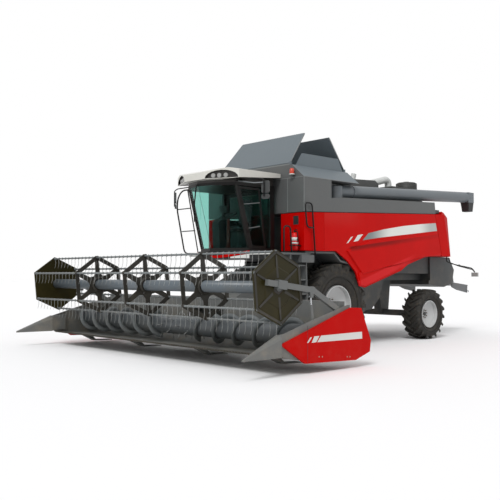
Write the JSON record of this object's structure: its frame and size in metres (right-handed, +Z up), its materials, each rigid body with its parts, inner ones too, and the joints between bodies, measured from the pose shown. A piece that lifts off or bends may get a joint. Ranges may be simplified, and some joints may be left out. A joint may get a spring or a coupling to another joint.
{
  "type": "combine harvester",
  "caption": "Self-propelled combine harvester with grain header, tined reel, feeder house, glazed cab, grain tank, unloading auger and straw chopper.",
  "frame": {"origin": "on the floor under the centre of the machine's overall length and width", "axes": "+X to the machine's left, +Y to its rear, +Z up; the header faces -Y"},
  "size_m": [7.72, 11.55, 4.8231],
  "materials": {
    "tyre_rubber": "matte",
    "rim_silver": "satin",
    "chassis_dark": "satin",
    "engine_iron": "matte",
    "deck_dark": "satin",
    "duct_white": "satin",
    "red_paint": "gloss",
    "tank_grey": "satin",
    "lid_blue_grey": "satin",
    "board_grey": "satin",
    "pipe_grey": "satin",
    "spout_black": "matte",
    "platform_grey": "satin",
    "cab_black": "gloss",
    "roof_cream": "gloss",
    "cab_window": "gloss",
    "seat_fabric": "matte",
    "inner_plastic": "matte",
    "lamp_clear": "gloss",
    "beacon_orange": "gloss",
    "header_grey": "satin",
    "bare_steel": "satin",
    "auger_steel": "satin",
    "ram_chrome": "polished",
    "reel_grey": "satin"
  },
  "bodies": {
    "machine": {"front_axle": "chassis_dark", "rear_axle": "chassis_dark", "chassis": "chassis_dark", "threshing_body": "chassis_dark", "engine_block": "engine_iron", "upper_deck": "deck_dark", "engine_hood": "deck_dark", "dust_screen": "deck_dark", "exhaust": "duct_white", "front_panels": "red_paint", "rear_hood": "red_paint", "upper_panels": "tank_grey", "grain_tank": "tank_grey", "straw_chopper": "chassis_dark", "cab_base": "platform_grey", "platform": "platform_grey", "cab_frame": "cab_black", "cab_roof": "roof_cream", "cab_glass": "cab_window", "seat": "seat_fabric", "steering": "inner_plastic", "console": "inner_plastic", "mirrors": "cab_black", "rails": "cab_black", "lamps": "lamp_clear", "beacon": "beacon_orange"},
    "front_wheel_left_turning": {"front_tyre_left": "tyre_rubber", "front_wheel_left": "rim_silver"},
    "front_wheel_right_turning": {"front_tyre_right": "tyre_rubber", "front_wheel_right": "rim_silver"},
    "steering_left": {"knuckle_left": "chassis_dark"},
    "steering_right": {"knuckle_right": "chassis_dark"},
    "rear_wheel_left_turning": {"rear_tyre_left": "tyre_rubber", "rear_wheel_left": "rim_silver"},
    "rear_wheel_right_turning": {"rear_tyre_right": "tyre_rubber", "rear_wheel_right": "rim_silver"},
    "service_door_left": {"side_panel_left": "red_paint"},
    "service_door_right": {"side_panel_right": "red_paint"},
    "tank_front_lid": {"front_lid": "lid_blue_grey"},
    "tank_rear_lid": {"rear_lid": "lid_blue_grey"},
    "auger_swinging": {"unloading_auger": "pipe_grey", "auger_spout": "spout_black"},
    "cab_door": {"door_frame": "cab_black", "door_glass": "cab_window"},
    "board": {"spreader_board": "board_grey"},
    "header": {"feeder_house": "header_grey", "header_frame": "header_grey", "end_panels": "red_paint", "dividers": "header_grey", "cutterbar": "bare_steel"},
    "header_auger_turning": {"header_auger": "auger_steel"},
    "lift_ram_barrels": {"lift_barrels": "chassis_dark"},
    "lift_ram_rods": {"lift_rods": "ram_chrome"},
    "reel_lift": {"reel_arms": "header_grey", "reel_carriages": "header_grey"},
    "reel_ram_barrels": {"reel_barrels": "header_grey"},
    "reel_ram_rods": {"reel_rods": "ram_chrome"},
    "reel_turning": {"reel": "reel_grey"}
  },
  "joints": [
    {"name": "front_wheel_left_spin", "type": "hinge", "parent": "machine", "child": "front_wheel_left_turning", "pos_m": [1.2, -0.705, 0.945], "axis": [1, 0, 0], "continuous": true},
    {"name": "front_wheel_right_spin", "type": "hinge", "parent": "machine", "child": "front_wheel_right_turning", "pos_m": [-1.2, -0.705, 0.945], "axis": [1, 0, 0], "continuous": true},
    {"name": "steer_left", "type": "hinge", "parent": "machine", "child": "steering_left", "pos_m": [0.95, 2.841, 0.637], "axis": [0, 0, 1], "range_deg": [-35, 35]},
    {"name": "steer_right", "type": "hinge", "parent": "machine", "child": "steering_right", "pos_m": [-0.95, 2.841, 0.637], "axis": [0, 0, 1], "range_deg": [-35, 35]},
    {"name": "rear_wheel_left_spin", "type": "hinge", "parent": "steering_left", "child": "rear_wheel_left_turning", "pos_m": [1.295, 2.841, 0.637], "axis": [1, 0, 0], "continuous": true},
    {"name": "rear_wheel_right_spin", "type": "hinge", "parent": "steering_right", "child": "rear_wheel_right_turning", "pos_m": [-1.295, 2.841, 0.637], "axis": [1, 0, 0], "continuous": true},
    {"name": "service_door_left_lift", "type": "hinge", "parent": "machine", "child": "service_door_left", "pos_m": [1.57, 0.995, 3.10394], "axis": [0, 0.9989, 0.0472], "range_deg": [-60, 0]},
    {"name": "service_door_right_lift", "type": "hinge", "parent": "machine", "child": "service_door_right", "pos_m": [-1.57, 0.995, 3.10394], "axis": [0, 0.9989, 0.0472], "range_deg": [0, 60]},
    {"name": "tank_front_lid_fold", "type": "hinge", "parent": "machine", "child": "tank_front_lid", "pos_m": [0, -1.92, 4.065], "axis": [1, 0, 0], "range_deg": [-51, 0]},
    {"name": "tank_rear_lid_fold", "type": "hinge", "parent": "machine", "child": "tank_rear_lid", "pos_m": [0, -0.11, 4.065], "axis": [1, 0, 0], "range_deg": [0, 63]},
    {"name": "auger_swing", "type": "hinge", "parent": "machine", "child": "auger_swinging", "pos_m": [1.3, -0.605, 3.53], "axis": [0, 0, 1], "range_deg": [-95, 0]},
    {"name": "cab_door_open", "type": "hinge", "parent": "machine", "child": "cab_door", "pos_m": [0.812, -3.132, 3.57], "axis": [0, -0.2648, 0.9643], "range_deg": [-80, 0]},
    {"name": "spreader_board_tilt", "type": "hinge", "parent": "machine", "child": "board", "pos_m": [0, 4.88, 1.42], "axis": [1, 0, 0], "range_deg": [-40, 20]},
    {"name": "header_lift", "type": "hinge", "parent": "machine", "child": "header", "pos_m": [0, -1.405, 1.65], "axis": [-1, 0, 0], "range_deg": [-1.5, 20]},
    {"name": "lift_ram_turn", "type": "hinge", "parent": "machine", "child": "lift_ram_barrels", "pos_m": [0, -1.105, 0.6], "axis": [-1, 0, 0], "range_deg": [-2, 17]},
    {"name": "lift_ram_stroke", "type": "slide", "parent": "lift_ram_barrels", "child": "lift_ram_rods", "axis": [0, -0.9954, -0.0963], "range_m": [-0.04, 0.4]},
    {"name": "header_auger_spin", "type": "hinge", "parent": "header", "child": "header_auger_turning", "pos_m": [0, -3.985, 0.6], "axis": [1, 0, 0], "continuous": true},
    {"name": "reel_arms_lift", "type": "hinge", "parent": "header", "child": "reel_lift", "pos_m": [0, -3.305, 0.95], "axis": [-1, 0, 0], "range_deg": [-6, 14]},
    {"name": "reel_ram_turn", "type": "hinge", "parent": "header", "child": "reel_ram_barrels", "pos_m": [0, -4.095, 0.77], "axis": [-1, 0, 0], "range_deg": [-7, 12]},
    {"name": "reel_ram_stroke", "type": "slide", "parent": "reel_ram_barrels", "child": "reel_ram_rods", "axis": [0, -0.1168, 0.9932], "range_m": [-0.09, 0.21]},
    {"name": "reel_spin", "type": "hinge", "parent": "reel_lift", "child": "reel_turning", "pos_m": [0, -4.857, 1.432], "axis": [1, 0, 0], "continuous": true}
  ],
  "couplings": [
    {"joint": "steer_right", "follows": "steer_left", "ratio": 1},
    {"joint": "lift_ram_turn", "follows": "header_lift", "ratio": 0.8116},
    {"joint": "lift_ram_stroke", "follows": "header_lift", "m_per_rad": 1.0422},
    {"joint": "reel_ram_turn", "follows": "reel_arms_lift", "ratio": 0.7716},
    {"joint": "reel_ram_stroke", "follows": "reel_arms_lift", "m_per_rad": 0.7996}
  ]
}
